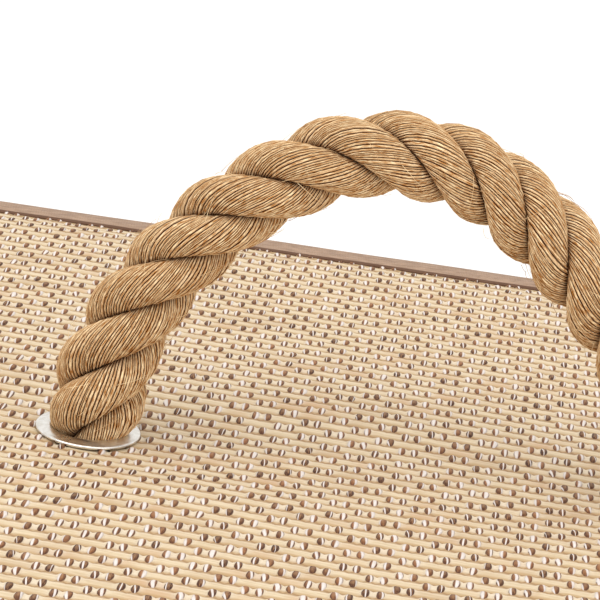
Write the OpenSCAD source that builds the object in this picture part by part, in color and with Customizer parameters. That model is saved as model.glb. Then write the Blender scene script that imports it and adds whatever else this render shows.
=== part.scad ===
// Lidded fabric storage bin with a rope lift handle.
// A stiffened woven box, a loose floor insert, and a lift-off lid whose rope
// handle passes through two metal eyelets and is knotted under the lid.
// The origin is the centre of the base, on the floor. +X runs along the long
// side and the row of eyelets, and +Z is up.

/* [Lid] */
// Width of the lid over its edge tape
lid_w = 380; // [320:1:460]
// Depth of the lid over its edge tape
lid_d = 254; // [200:1:320]
// Height of the lid's skirt, from the top cloth to its hem
skirt_h = 52; // [40:1:70]

/* [Bin] */
// Height of the walls, without the rim tape
body_h = 240; // [180:1:320]
// Gap on each side between the bin's cloth and the skirt's hem
lid_play = 1.7; // [1.5:0.1:4]

/* [Layers] */
// Thickness of the woven outer cloth
cloth_t = 1.2; // [0.8:0.1:2]
// Thickness of the stiffening boards
board_t = 2.5; // [1.5:0.1:4]
// Thickness of the lining cloth
lining_t = 0.5; // [0.3:0.1:1]
// Thickness of the binding tape
tape_t = 0.8; // [0.5:0.1:1.2]
// Width of each face of the binding tape
tape_w = 7.6; // [6:0.1:12]

/* [Handle] */
// Distance between the centres of the eyelets
span = 104; // [98:1:112]
// Height of the rope's centre line above the lid, at the top of the arch
rise = 56; // [52:1:60]
// How far the top of the arch stands to the left of the lid's middle
top_shift = 4.7; // [0:0.1:6]
// Diameter of the rope
rope_d = 14.4; // [12:0.1:15]
// Radius of the arch's crown, at the rope's centre line
crown_r = 31; // [26:1:34]
// Angle from the top of the arch to the left end of its crown, in degrees
crown_left = 30; // [26:1:40]
// Angle from the top of the arch to the right end of its crown, in degrees
crown_right = 33; // [26:1:40]

/* [Eyelets] */
// Diameter of the hole through an eyelet
hole_d = 12.4; // [11:0.1:13]
// Outer diameter of an eyelet's flange
flange_d = 18; // [17:0.1:20]
// Outer diameter of the washer under the lid
washer_d = 20; // [18:0.1:24]

/* [Hidden] */

weave_colour = [0.87, 0.77, 0.62];
board_colour = [0.72, 0.60, 0.45];
lining_colour = [0.90, 0.86, 0.79];
tape_colour = [0.62, 0.52, 0.44];
metal_colour = [0.84, 0.82, 0.78];
rope_colour = [0.76, 0.60, 0.40];

$fn = 96;

// One wall of the bin or the skirt: cloth outside, then board, then lining
wall_t = cloth_t + board_t + lining_t;
tape_hem_h = 10;   // height of the tape on the bin's rim and the skirt's hem

// Half sizes of the lid's cloth, and of the bin's cloth inside it
lid_x = lid_w / 2 - tape_t;
lid_y = lid_d / 2 - tape_t;
bin_x = lid_x - wall_t - tape_t - lid_play;
bin_y = lid_y - wall_t - tape_t - lid_play;

// The lid's layers rest on the rim tape, with a little air at the joint
rest_gap = 0.2;
lining_z = body_h + tape_t + rest_gap;
top_board_z = lining_z + lining_t;
top_cloth_z = top_board_z + board_t;
lid_z = top_cloth_z + cloth_t;
hem_z = lid_z - skirt_h;

// Loose floor insert
insert_play = 1.3;
insert_board_t = 3;
insert_cloth_t = 0.6;
insert_x = bin_x - wall_t - insert_play;
insert_y = bin_y - wall_t - insert_play;
insert_z = wall_t + rest_gap;
insert_top_z = insert_z + insert_board_t + insert_cloth_t;
tab_size = [20, 34, 1.6];
tab_inset = 4;

// Eyelets and washers
hole_r = hole_d / 2;
flange_r = flange_d / 2;
barrel_r = hole_r + 0.6;
cut_r = barrel_r + 0.1;   // radius of the hole cut in the lid's layers
flange_t = 1.1;
washer_t = 0.8;
curl_t = 0.6;             // thickness of the barrel's curled lower end
curl_r = barrel_r + 1.4;
washer_z = lining_z - washer_t;

// Rope. The handle leans about a line through both of its feet, a little
// above the lid, where the rope bends.
rope_r = rope_d / 2;
tail_r = hole_r - 0.1;    // the rope is squeezed where it fills the hole
pivot_h = rope_r + 0.8;
tail_top_h = 0.5;
knot_r = 14;
knot_flat = 1.5;          // how much of the knot is flattened by the washer
knot_z = washer_z - curl_t - 0.2 - knot_r + knot_flat;
tail_len = 26;            // length of rope below the knot's centre

// The arch: a tight crown between two long, gently curved legs. The arc of a
// leg is tangent to the crown and passes through the centre of its eyelet.
// Each half is worked out from the top of the arch as if it went to the right.
function shoulder(turn) = [crown_r * sin(turn), rise - crown_r * (1 - cos(turn))];
function leg_radius(half, turn) =
    let (s = shoulder(turn), reach = [half - s[0], s[1]])
    (reach * reach) / (2 * (s[1] * cos(turn) - reach[0] * sin(turn)));
function leg_centre(half, turn) =
    shoulder(turn) - leg_radius(half, turn) * [sin(turn), cos(turn)];

// Rings of one leg, from its foot up: [distance from the top of the arch,
// height above the lid, direction of the ring's outer side in the XZ plane,
// radius]. Each foot is rounded about the line that the handle leans about,
// so that it clears the lid at every lean.
tube_sides = 16;
leg_rings = 14;
crown_rings = 16;
nose_angles = [64, 48, 32, 16];
function leg(half, turn) =
    let (
        r = leg_radius(half, turn),
        c = leg_centre(half, turn),
        low = asin((pivot_h - c[1]) / r),
        foot = c + r * [cos(low), sin(low)]
    )
    concat(
        [for (k = nose_angles) [
            foot[0] + rope_r * sin(k) * sin(low),
            foot[1] - rope_r * sin(k) * cos(low),
            low,
            rope_r * cos(k)
        ]],
        [for (i = [0 : leg_rings - 1])
            let (a = low + (90 - turn - low) * i / leg_rings)
            [c[0] + r * cos(a), c[1] + r * sin(a), a, rope_r]]
    );

// Rings of the whole tube, from the right foot to the left
right_leg = leg(span / 2 + top_shift, crown_right);
left_leg = leg(span / 2 - top_shift, crown_left);
arch_rings = concat(
    [for (r = right_leg) [r[0] - top_shift, r[1], r[2], r[3]]],
    [for (i = [0 : crown_rings])
        let (a = 90 - crown_right + (crown_left + crown_right) * i / crown_rings)
        [crown_r * cos(a) - top_shift, rise - crown_r + crown_r * sin(a), a, rope_r]],
    [for (i = [len(left_leg) - 1 : -1 : 0])
        let (r = left_leg[i])
        [-r[0] - top_shift, r[1], 180 - r[2], r[3]]]
);

// Corner points of the tube, ring by ring
function tube_points(rings) = [
    for (r = rings, k = [0 : tube_sides - 1])
        let (s = 360 * k / tube_sides, out = r[3] * cos(s))
        [r[0] + out * cos(r[2]), r[3] * sin(s), r[1] + out * sin(r[2])]
];

// The two end caps and the four-sided faces between the rings
function tube_faces(count) = concat(
    [[for (k = [0 : tube_sides - 1]) k]],
    [[for (k = [tube_sides - 1 : -1 : 0]) (count - 1) * tube_sides + k]],
    [for (i = [0 : count - 2], k = [0 : tube_sides - 1])
        let (a = i * tube_sides, n = (k + 1) % tube_sides)
        [a + k, a + tube_sides + k, a + tube_sides + n, a + n]]
);

// A closed band of rectangular section, between an outer half size and an
// inner one, from z0 to z1
module band(outer, inner, z0, z1) {
    difference() {
        translate([-outer[0], -outer[1], z0])
            cube([2 * outer[0], 2 * outer[1], z1 - z0]);
        translate([-inner[0], -inner[1], z0 - 1])
            cube([2 * inner[0], 2 * inner[1], z1 - z0 + 2]);
    }
}

// A flat plate of the given half size, from z0 to z1
module plate(half, z0, z1) {
    translate([-half[0], -half[1], z0])
        cube([2 * half[0], 2 * half[1], z1 - z0]);
}

// A wall panel on the long side at +Y, whose outer face is at y
module long_panel(x, y, t, z0, z1) {
    translate([-x, y - t, z0])
        cube([2 * x, t, z1 - z0]);
}

// A wall panel on the short side at +X, whose outer face is at x
module short_panel(x, y, t, z0, z1) {
    translate([x - t, -y, z0])
        cube([t, 2 * y, z1 - z0]);
}

// One layer of the lid's top, with the two holes for the eyelets
module lid_layer(half, z0, z1) {
    difference() {
        plate(half, z0, z1);
        for (side = [-1, 1])
            translate([side * span / 2, 0, z0 - 1])
                cylinder(r = cut_r, h = z1 - z0 + 2);
    }
}

module eyelet(side) {
    color(metal_colour)
    translate([side * span / 2, 0, 0])
    rotate_extrude() {
        // Flange with a rounded outer edge and a rounded lip at the hole
        translate([hole_r + flange_t / 2, lid_z])
            square([flange_r - hole_r - flange_t, flange_t]);
        for (x = [hole_r + flange_t / 2, flange_r - flange_t / 2])
            translate([x, lid_z + flange_t / 2])
                circle(d = flange_t, $fn = 32);
        // Barrel through the lid, curled outwards under the washer
        translate([hole_r, washer_z - curl_t])
            square([barrel_r - hole_r, lid_z + flange_t / 2 - washer_z + curl_t]);
        translate([hole_r, washer_z - curl_t])
            square([curl_r - hole_r, curl_t]);
    }
}

module washer(side) {
    color(metal_colour)
    translate([side * span / 2, 0, washer_z])
    difference() {
        cylinder(d = washer_d, h = washer_t);
        translate([0, 0, -1])
            cylinder(r = cut_r, h = washer_t + 2);
    }
}

// The rope from just above the lid down through the eyelet to its knot
module rope_end(side) {
    color(rope_colour)
    translate([side * span / 2, 0, 0]) {
        translate([0, 0, knot_z])
            cylinder(r = tail_r, h = lid_z + tail_top_h - knot_z);
        intersection() {
            translate([0, 0, knot_z])
                sphere(r = knot_r);
            translate([-knot_r, -knot_r, knot_z - knot_r])
                cube([2 * knot_r, 2 * knot_r, 2 * knot_r - knot_flat]);
        }
        translate([0, 0, knot_z - tail_len])
            cylinder(r = rope_r, h = tail_len);
    }
}

// The arch of rope, as one tube through the rings of arch_rings
module rope_handle() {
    color(rope_colour)
    translate([0, 0, lid_z])
        polyhedron(points = tube_points(arch_rings), faces = tube_faces(len(arch_rings)));
}

// Bin
module base_cloth() {
    color(weave_colour)
        plate([bin_x - cloth_t, bin_y - cloth_t], 0, cloth_t);
}

module base_board() {
    color(board_colour)
        plate([bin_x - cloth_t - board_t, bin_y - cloth_t - board_t], cloth_t, cloth_t + board_t);
}

module base_lining() {
    color(lining_colour)
        plate([bin_x - cloth_t - board_t, bin_y - cloth_t - board_t], cloth_t + board_t, wall_t);
}

module back_cloth() {
    color(weave_colour)
        long_panel(bin_x, bin_y, cloth_t, 0, body_h);
}

module front_cloth() {
    mirror([0, 1, 0])
        back_cloth();
}

module right_cloth() {
    color(weave_colour)
        short_panel(bin_x, bin_y - cloth_t, cloth_t, 0, body_h);
}

module left_cloth() {
    mirror([1, 0, 0])
        right_cloth();
}

module back_board() {
    color(board_colour)
        long_panel(bin_x - cloth_t, bin_y - cloth_t, board_t, cloth_t, body_h);
}

module front_board() {
    mirror([0, 1, 0])
        back_board();
}

module right_board() {
    color(board_colour)
        short_panel(bin_x - cloth_t, bin_y - cloth_t - board_t, board_t, cloth_t, body_h);
}

module left_board() {
    mirror([1, 0, 0])
        right_board();
}

module wall_lining() {
    color(lining_colour)
        band(
            [bin_x - cloth_t - board_t, bin_y - cloth_t - board_t],
            [bin_x - wall_t, bin_y - wall_t],
            wall_t, body_h
        );
}

module rim_tape() {
    color(tape_colour)
    difference() {
        band(
            [bin_x + tape_t, bin_y + tape_t],
            [bin_x - wall_t - tape_t, bin_y - wall_t - tape_t],
            body_h - tape_hem_h, body_h + tape_t
        );
        band(
            [bin_x, bin_y],
            [bin_x - wall_t, bin_y - wall_t],
            body_h - tape_hem_h - 1, body_h
        );
    }
}

// Floor insert
module insert_board() {
    color(board_colour)
        plate(
            [insert_x - insert_cloth_t, insert_y - insert_cloth_t],
            insert_z, insert_z + insert_board_t
        );
}

module insert_cover() {
    color(lining_colour)
    difference() {
        plate([insert_x, insert_y], insert_z, insert_top_z);
        plate(
            [insert_x - insert_cloth_t, insert_y - insert_cloth_t],
            insert_z - 1, insert_z + insert_board_t
        );
    }
}

module insert_pull_tab() {
    color(tape_colour)
        translate([-tab_size[0] / 2, tab_inset - insert_y, insert_top_z])
            cube(tab_size);
}

// Lid
module lid_top_cloth() {
    color(weave_colour)
        lid_layer([lid_x, lid_y], top_cloth_z, lid_z);
}

module lid_board() {
    color(board_colour)
        lid_layer([lid_x - cloth_t, lid_y - cloth_t], top_board_z, top_cloth_z);
}

module lid_top_lining() {
    color(lining_colour)
        lid_layer([lid_x - cloth_t - board_t, lid_y - cloth_t - board_t], lining_z, top_board_z);
}

module lid_back_cloth() {
    color(weave_colour)
        long_panel(lid_x, lid_y, cloth_t, hem_z + tape_t, top_cloth_z);
}

module lid_front_cloth() {
    mirror([0, 1, 0])
        lid_back_cloth();
}

module lid_right_cloth() {
    color(weave_colour)
        short_panel(lid_x, lid_y - cloth_t, cloth_t, hem_z + tape_t, top_cloth_z);
}

module lid_left_cloth() {
    mirror([1, 0, 0])
        lid_right_cloth();
}

module lid_back_board() {
    color(board_colour)
        long_panel(lid_x - cloth_t, lid_y - cloth_t, board_t, hem_z + tape_t, top_board_z);
}

module lid_front_board() {
    mirror([0, 1, 0])
        lid_back_board();
}

module lid_right_board() {
    color(board_colour)
        short_panel(
            lid_x - cloth_t, lid_y - cloth_t - board_t, board_t,
            hem_z + tape_t, top_board_z
        );
}

module lid_left_board() {
    mirror([1, 0, 0])
        lid_right_board();
}

module lid_skirt_lining() {
    color(lining_colour)
        band(
            [lid_x - cloth_t - board_t, lid_y - cloth_t - board_t],
            [lid_x - wall_t, lid_y - wall_t],
            hem_z + tape_t, lining_z
        );
}

// Tape folded over the lid's top edge: one face on the top, one on the skirt
module lid_edge_tape() {
    color(tape_colour)
    difference() {
        band(
            [lid_w / 2, lid_d / 2],
            [lid_w / 2 - tape_w, lid_d / 2 - tape_w],
            lid_z + tape_t - tape_w, lid_z + tape_t
        );
        plate([lid_x, lid_y], lid_z - tape_w - 1, lid_z);
    }
}

module lid_hem_tape() {
    color(tape_colour)
    difference() {
        band(
            [lid_w / 2, lid_d / 2],
            [lid_x - wall_t - tape_t, lid_y - wall_t - tape_t],
            hem_z, hem_z + tape_hem_h
        );
        band(
            [lid_x, lid_y],
            [lid_x - wall_t, lid_y - wall_t],
            hem_z + tape_t, hem_z + tape_hem_h + 1
        );
    }
}

module eyelet_left() { eyelet(-1); }
module eyelet_right() { eyelet(1); }
module washer_left() { washer(-1); }
module washer_right() { washer(1); }
module rope_end_left() { rope_end(-1); }
module rope_end_right() { rope_end(1); }

base_cloth();
base_board();
base_lining();
front_cloth();
back_cloth();
left_cloth();
right_cloth();
front_board();
back_board();
left_board();
right_board();
wall_lining();
rim_tape();
insert_board();
insert_cover();
insert_pull_tab();
lid_top_cloth();
lid_board();
lid_top_lining();
lid_front_cloth();
lid_back_cloth();
lid_left_cloth();
lid_right_cloth();
lid_front_board();
lid_back_board();
lid_left_board();
lid_right_board();
lid_skirt_lining();
lid_edge_tape();
lid_hem_tape();
eyelet_left();
eyelet_right();
washer_left();
washer_right();
rope_end_left();
rope_end_right();
rope_handle();
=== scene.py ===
import bpy
import numpy as np
from mathutils import Matrix, Vector


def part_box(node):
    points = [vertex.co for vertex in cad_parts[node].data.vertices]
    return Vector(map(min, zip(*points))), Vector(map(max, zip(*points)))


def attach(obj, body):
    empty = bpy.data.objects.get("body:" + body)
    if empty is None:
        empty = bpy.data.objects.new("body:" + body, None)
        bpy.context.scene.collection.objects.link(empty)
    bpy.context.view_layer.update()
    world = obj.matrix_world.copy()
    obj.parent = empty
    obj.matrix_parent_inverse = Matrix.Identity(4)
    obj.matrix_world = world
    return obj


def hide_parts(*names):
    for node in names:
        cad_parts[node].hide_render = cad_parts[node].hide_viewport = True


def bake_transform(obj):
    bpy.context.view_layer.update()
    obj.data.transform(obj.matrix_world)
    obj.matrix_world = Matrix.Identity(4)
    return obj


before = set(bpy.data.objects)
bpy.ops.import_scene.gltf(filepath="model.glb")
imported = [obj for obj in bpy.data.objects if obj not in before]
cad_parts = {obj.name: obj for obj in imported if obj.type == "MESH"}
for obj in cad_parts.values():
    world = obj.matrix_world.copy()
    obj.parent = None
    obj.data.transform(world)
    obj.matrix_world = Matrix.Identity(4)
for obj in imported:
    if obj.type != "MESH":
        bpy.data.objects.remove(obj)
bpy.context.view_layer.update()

# Lengths below are millimetres; MM turns them into metres.
MM = 0.001


def box_mm(node):
    low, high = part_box(node)
    return np.array(low) / MM, np.array(high) / MM


LID_X, LID_Y, LID_Z = box_mm("lid_top_cloth")[1]
TAPE_LOW, TAPE_HIGH = box_mm("lid_edge_tape")
EYELET_LOW, EYELET_HIGH = box_mm("eyelet_right")
EYELET_X = (EYELET_LOW[0] + EYELET_HIGH[0]) / 2
BIN_LOW, BIN_HIGH = box_mm("front_cloth")
BIN_X = BIN_HIGH[0]
BIN_Y = -BIN_LOW[1]
BIN_TOP = BIN_HIGH[2]


# ---------------------------------------------------------------- camera

CAMERA_TURN = (-0.05, 17.67, -8.28)     # yaw, pitch and roll, in degrees
CAMERA_PLACE = (32.9, -448.7, 171.5)    # from the left eyelet's middle, on the lid
CAMERA_LENS, CAMERA_SENSOR = 169.2, 36.0


def make_camera():
    yaw, pitch, roll = np.radians(CAMERA_TURN)
    ahead = np.array([np.sin(yaw) * np.cos(pitch), np.cos(yaw) * np.cos(pitch), -np.sin(pitch)])
    level = np.array([np.cos(yaw), -np.sin(yaw), 0.0])
    down = np.cross(ahead, level)
    right = np.cos(roll) * level + np.sin(roll) * down
    up = np.sin(roll) * level - np.cos(roll) * down
    place = np.array([-EYELET_X, 0.0, LID_Z]) + CAMERA_PLACE
    matrix = Matrix.Identity(4)
    for row in range(3):
        matrix[row][0], matrix[row][1] = right[row], up[row]
        matrix[row][2], matrix[row][3] = -ahead[row], place[row] * MM
    data = bpy.data.cameras.new("camera")
    data.lens, data.sensor_width = CAMERA_LENS, CAMERA_SENSOR
    data.clip_start, data.clip_end = 0.01, 100.0
    camera = bpy.data.objects.new("camera", data)
    camera.matrix_world = matrix
    bpy.context.scene.collection.objects.link(camera)
    bpy.context.scene.camera = camera


make_camera()


# ---------------------------------------------------------------- helpers

def waves(x, y, seed, scale, count=6):
    """A smooth random field, about -1 to 1, with features about scale across."""
    draw = np.random.default_rng(seed)
    total = 0.0
    for _ in range(count):
        angle, phase = draw.uniform(0, 2 * np.pi, 2)
        rate = 2 * np.pi / scale * draw.uniform(0.5, 1.3)
        total = total + np.sin(rate * (np.cos(angle) * x + np.sin(angle) * y) + phase)
    return total / np.sqrt(count)


def smooth(t):
    t = np.clip(t, 0, 1)
    return t * t * (3 - 2 * t)


def run_along(points):
    """The length run so far at each point of a line."""
    return np.concatenate([[0], np.cumsum(np.linalg.norm(np.diff(points, axis=0), axis=1))])


def points_at(at, run, line):
    """A line's points, or the vectors along it, at the lengths in at."""
    return np.stack([np.interp(at, run, line[:, k]) for k in range(3)], -1)


def make_piece(name, points, faces, material, values=(), sharp=()):
    """A mesh object from points in millimetres and arrays of faces. The edges of
    the faces in sharp aren't smoothed over."""
    mesh = bpy.data.meshes.new(name)
    loops = np.concatenate([np.asarray(f, np.int32).ravel() for f in faces])
    sizes = np.concatenate([np.full(len(f), np.shape(f)[1], np.int32) for f in faces])
    starts = np.concatenate([[0], np.cumsum(sizes)[:-1]]).astype(np.int32)
    mesh.vertices.add(len(points))
    mesh.vertices.foreach_set("co", (np.asarray(points) * MM).astype(np.float32).ravel())
    mesh.loops.add(len(loops))
    mesh.loops.foreach_set("vertex_index", loops)
    mesh.polygons.add(len(sizes))
    mesh.polygons.foreach_set("loop_start", starts)
    mesh.update(calc_edges=True)
    mesh.validate()
    mesh.polygons.foreach_set("use_smooth", np.ones(len(mesh.polygons), bool))
    if len(sharp):
        ends = np.empty(2 * len(mesh.edges), np.int64)
        mesh.edges.foreach_get("vertices", ends)
        around = np.concatenate([np.stack([f, np.roll(f, -1)], 1) for f in sharp])
        marked = np.sort(around, 1) @ [len(points), 1]
        edges = np.sort(ends.reshape(-1, 2), 1) @ [len(points), 1]
        layer = mesh.attributes.new("sharp_edge", "BOOLEAN", "EDGE")
        layer.data.foreach_set("value", np.isin(edges, marked))
    for key, numbers in dict(values).items():
        numbers = np.asarray(numbers, np.float32)
        kind, field = ("FLOAT_VECTOR", "vector") if numbers.ndim == 2 else ("FLOAT", "value")
        mesh.attributes.new(key, kind, "POINT").data.foreach_set(field, numbers.ravel())
    piece = bpy.data.objects.new(name, mesh)
    bpy.context.scene.collection.objects.link(piece)
    mesh.materials.append(material)
    return piece


def tube_faces(rings, sides, first):
    """Quads between rings of a tube whose points start at first, and its two end caps."""
    ring = np.arange(sides)
    after = np.roll(ring, -1)
    base = first + np.arange(rings - 1)[:, None] * sides
    quads = np.stack([base + ring, base + after, base + sides + after, base + sides + ring], -1)
    last = first + (rings - 1) * sides
    return [quads.reshape(-1, 4), (first + ring[::-1])[None], (last + ring)[None]]


def ring_faces(rings, sides):
    """Quads of a tube that runs round to its own start."""
    a = np.arange(rings)[:, None] * sides
    b = np.roll(a, -1, 0)
    k = np.arange(sides)[None]
    m = np.roll(k, -1, 1)
    return np.stack([a + k, b + k, b + m, a + m], -1).reshape(-1, 4)


def slab_faces(keep, fine_rows=1, fine_columns=1):
    """The used points and the faces of a closed slab over the kept cells of a grid.
    The points are the upper grid, of that many finer rows and columns in each cell,
    and then the lower grid. The faces are the upper, the lower and each side's."""
    rows, columns = keep.shape
    nv, nu = fine_rows, fine_columns
    shape = (rows * nv + 1, columns * nu + 1)
    top = np.arange(shape[0] * shape[1]).reshape(shape)
    low = top.size + np.arange((rows + 1) * (columns + 1)).reshape(rows + 1, columns + 1)
    upper = np.stack([top[:-1, :-1], top[:-1, 1:], top[1:, 1:], top[1:, :-1]], -1)
    lower = np.stack([low[:-1, :-1], low[1:, :-1], low[1:, 1:], low[:-1, 1:]], -1)
    faces = [upper[np.kron(keep, np.ones((nv, nu), bool)).astype(bool)], lower[keep]]
    around = np.pad(keep, 1)
    for r, c in zip(*np.nonzero(keep)):
        y, x = r * nv, c * nu
        if not around[r, c + 1]:
            faces.append([[*top[y, x:x + nu + 1][::-1], low[r, c], low[r, c + 1]]])
        if not around[r + 2, c + 1]:
            faces.append([[*top[y + nv, x:x + nu + 1], low[r + 1, c + 1], low[r + 1, c]]])
        if not around[r + 1, c]:
            faces.append([[*top[y:y + nv + 1, x], low[r + 1, c], low[r, c]]])
        if not around[r + 1, c + 2]:
            faces.append([[*top[y:y + nv + 1, x + nu][::-1], low[r, c + 1], low[r + 1, c + 1]]])
    used = np.unique(np.concatenate([np.asarray(f).ravel() for f in faces]))
    fresh = np.full(top.size + low.size, -1)
    fresh[used] = np.arange(len(used))
    return used, [fresh[np.asarray(f)] for f in faces]


def belongs(piece, body, node=None):
    """Says what body the piece rides on and what CAD node it stands for, if any,
    and hides that node."""
    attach(piece, body)
    if node:
        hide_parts(node)


# ---------------------------------------------------------------- materials

class Nodes:
    """Short calls for building one material's nodes."""

    def __init__(self, name, **constants):
        self.material = bpy.data.materials.new(name)
        self.material.use_nodes = True
        self.tree = self.material.node_tree
        self.shader = self.tree.nodes["Principled BSDF"]
        for key, value in constants.items():
            self.shader.inputs[key.replace("_", " ").title().replace("Ior", "IOR")].default_value = value

    def add(self, kind, *inputs, out=0, **settings):
        node = self.tree.nodes.new("ShaderNode" + kind)
        for key, value in settings.items():
            setattr(node, key, value)
        for slot, value in enumerate(inputs):
            self.put(node.inputs[slot], value)
        return node.outputs[out]

    def put(self, socket, value):
        if isinstance(value, bpy.types.NodeSocket):
            self.tree.links.new(value, socket)
        elif value is not None:
            socket.default_value = value

    def math(self, operation, *inputs):
        return self.add("Math", *inputs, operation=operation)

    def times(self, first, second):
        return self.math("MULTIPLY", first, second)

    def plus(self, first, second):
        return self.math("ADD", first, second)

    def minus(self, first, second):
        return self.math("SUBTRACT", first, second)

    def value(self, name):
        return self.add("Attribute", out=2, attribute_name=name)

    def vector(self, name):
        return self.add("Attribute", out=1, attribute_name=name)

    def split(self, vector):
        node = self.tree.nodes.new("ShaderNodeSeparateXYZ")
        self.put(node.inputs[0], vector)
        return node.outputs[0], node.outputs[1], node.outputs[2]

    def join(self, x=0.0, y=0.0, z=0.0):
        return self.add("CombineXYZ", x, y, z)

    def scaled(self, vector, x, y, z):
        return self.add("VectorMath", vector, (x, y, z), operation="MULTIPLY")

    def noise(self, vector, scale, detail, rough):
        return self.add("TexNoise", vector, None, scale, detail, rough)

    def streaks(self, x, x_rate, y, y_rate, apart, detail, rough):
        """Noise with its own rate along each of two coordinates."""
        return self.noise(self.join(self.times(x, x_rate), self.times(y, y_rate), apart), 1.0, detail, rough)

    def random(self, vector, out=0):
        return self.add("TexWhiteNoise", vector, out=out)

    def step(self, value, low, high, to_low=0.0, to_high=1.0):
        """A smooth step between to_low and to_high as the value goes from low to high."""
        return self.add("MapRange", value, low, high, to_low, to_high, interpolation_type="SMOOTHSTEP")

    def mix(self, share, first, second):
        node = self.tree.nodes.new("ShaderNodeMix")
        node.data_type = "RGBA"
        self.put(node.inputs[0], share)
        self.put(node.inputs[6], first)
        self.put(node.inputs[7], second)
        return node.outputs[2]

    def bump(self, height, distance, strength):
        return self.add("Bump", strength, distance, None, height)

    def finish(self, colour=None, rough=None, normal=None):
        for key, value in (("Base Color", colour), ("Roughness", rough), ("Normal", normal)):
            if value is not None:
                self.put(self.shader.inputs[key], value)
        return self.material


def srgb(red, green, blue):
    """A colour from its 0 to 255 values as seen on a screen."""
    seen = np.array([red, green, blue]) / 255
    linear = np.where(seen <= 0.04045, seen / 12.92, ((seen + 0.055) / 1.055) ** 2.4)
    return (*linear.tolist(), 1.0)


DOT_HALF = 0.28     # half width of a warp dot, as a share of the warp pitch


def woven_material():
    """Cream paper-like weft over and under paired mottled brown and white warps.
    The attribute "weave" counts warps along x and weft rows along y."""
    n = Nodes("woven_cloth", roughness=0.62, specular_ior_level=0.35, sheen_weight=0.03, sheen_roughness=0.4)
    across, along, panel = n.split(n.vector("weave"))
    warp, row = n.math("FLOOR", across), n.math("FLOOR", along)
    u = n.minus(n.math("FRACT", across), 0.5)
    v = n.minus(n.math("FRACT", along), 0.5)
    turn = n.plus(warp, n.times(row, 2.0))
    over = n.math("LESS_THAN", n.math("FLOORED_MODULO", n.plus(turn, 2.0), 4.0), 1.5)
    cell = n.join(warp, row, panel)
    dice_x, dice_y, dice_z = n.split(n.random(cell, out=1))
    side = n.math("DIVIDE", u, DOT_HALF)
    tip = n.math("DIVIDE", v, 0.53)
    reach = n.math("POWER", n.math("ABSOLUTE", tip), 2.3)
    reach = n.plus(n.math("POWER", n.math("ABSOLUTE", side), 2.0), reach)
    dot = n.times(n.step(reach, 1.12, 0.88), over)
    girth = n.math("POWER", n.math("MAXIMUM", n.minus(1.0, n.times(tip, tip)), 0.08), 0.25)
    across_dot = n.math("DIVIDE", side, girth)
    # Warp: brown, crossed at a slant by one white ply, with patches of more white
    patch = n.streaks(across, 0.09, along, 0.32, panel, 2.0, 0.55)
    tilt = n.times(n.minus(dice_y, 0.85), 1.5)
    wide = n.plus(n.times(dice_z, 0.5), n.times(patch, -0.5))
    wide = n.math("MAXIMUM", n.plus(wide, 0.38), 0.05)
    start = n.minus(n.times(dice_x, 1.8), 1.0)
    away = n.minus(across_dot, n.plus(start, n.times(tilt, v)))
    away = n.math("DIVIDE", n.math("ABSOLUTE", away), wide)
    white = n.step(away, 1.25, 0.6)
    fibre = n.streaks(side, 5.0, along, 2.2, dice_x, 2.0, 0.6)
    brown = n.mix(dice_z, srgb(60, 28, 12), srgb(138, 88, 54))
    brown = n.mix(n.step(fibre, 0.45, 0.8), brown, srgb(176, 128, 84))
    # Painted highlight: each dot is lighter in its middle, on the crown of its dome
    brown = n.mix(n.step(reach, 0.4, 0.0, 0.0, 0.3), brown, srgb(190, 150, 112))
    # Painted shade: each dot, brown and white ply alike, darkens towards its edge where it curves down into
    # the weft
    rim = n.step(reach, 0.35, 0.95)
    brown = n.mix(n.times(rim, 0.75), brown, srgb(72, 42, 28))
    pale = n.mix(fibre, srgb(200, 188, 180), srgb(246, 240, 236))
    pale = n.mix(n.times(rim, 0.25), pale, srgb(120, 94, 80))
    warp_colour = n.mix(white, brown, pale)
    # Weft: a cream band, paler between paired warps, lighter on its upper side as a
    # painted highlight and darker on its lower side as painted shade, and darker in
    # the groove on each side of it, partly the brown warps beneath and partly painted shade
    grain = n.streaks(across, 0.5, along, 7.0, panel, 3.0, 0.6)
    band = n.streaks(across, 0.16, row, 7.3, panel, 1.0, 0.5)
    cream = n.mix(n.step(grain, 0.3, 0.7), srgb(201, 180, 145), srgb(221, 203, 173))
    cream = n.mix(n.step(band, 0.52, 0.75), cream, srgb(200, 168, 132))
    cream = n.mix(n.step(patch, 0.52, 0.68, 0.0, 0.35), cream, srgb(176, 145, 112))
    pairs = n.math("SINE", n.times(n.plus(across, n.times(row, 2.0)), -np.pi / 2))
    cream = n.mix(n.step(pairs, -0.5, 0.9, 0.0, 0.4), cream, srgb(238, 226, 208))
    # Painted shade along the band's lower side, then a painted highlight along its upper side
    cream = n.mix(n.step(v, -0.05, -0.42, 0.0, 0.75), cream, srgb(172, 138, 92))
    cream = n.mix(n.step(v, 0.1, 0.4, 0.0, 0.45), cream, srgb(240, 226, 202))
    # Darker in the groove between rows: partly the brown warps beneath, partly painted shade
    cream = n.mix(n.step(n.math("ABSOLUTE", v), 0.38, 0.49, 0.0, 0.85), cream, srgb(152, 118, 80))
    colour = n.mix(dot, cream, warp_colour)
    high = n.plus(n.times(grain, 0.5), n.times(n.times(fibre, dot), 0.8))
    normal = n.bump(high, 0.00022, 0.55)
    rough = n.step(grain, 0.3, 0.7, 0.55, 0.7)
    return n.finish(colour, rough, normal)


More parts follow.
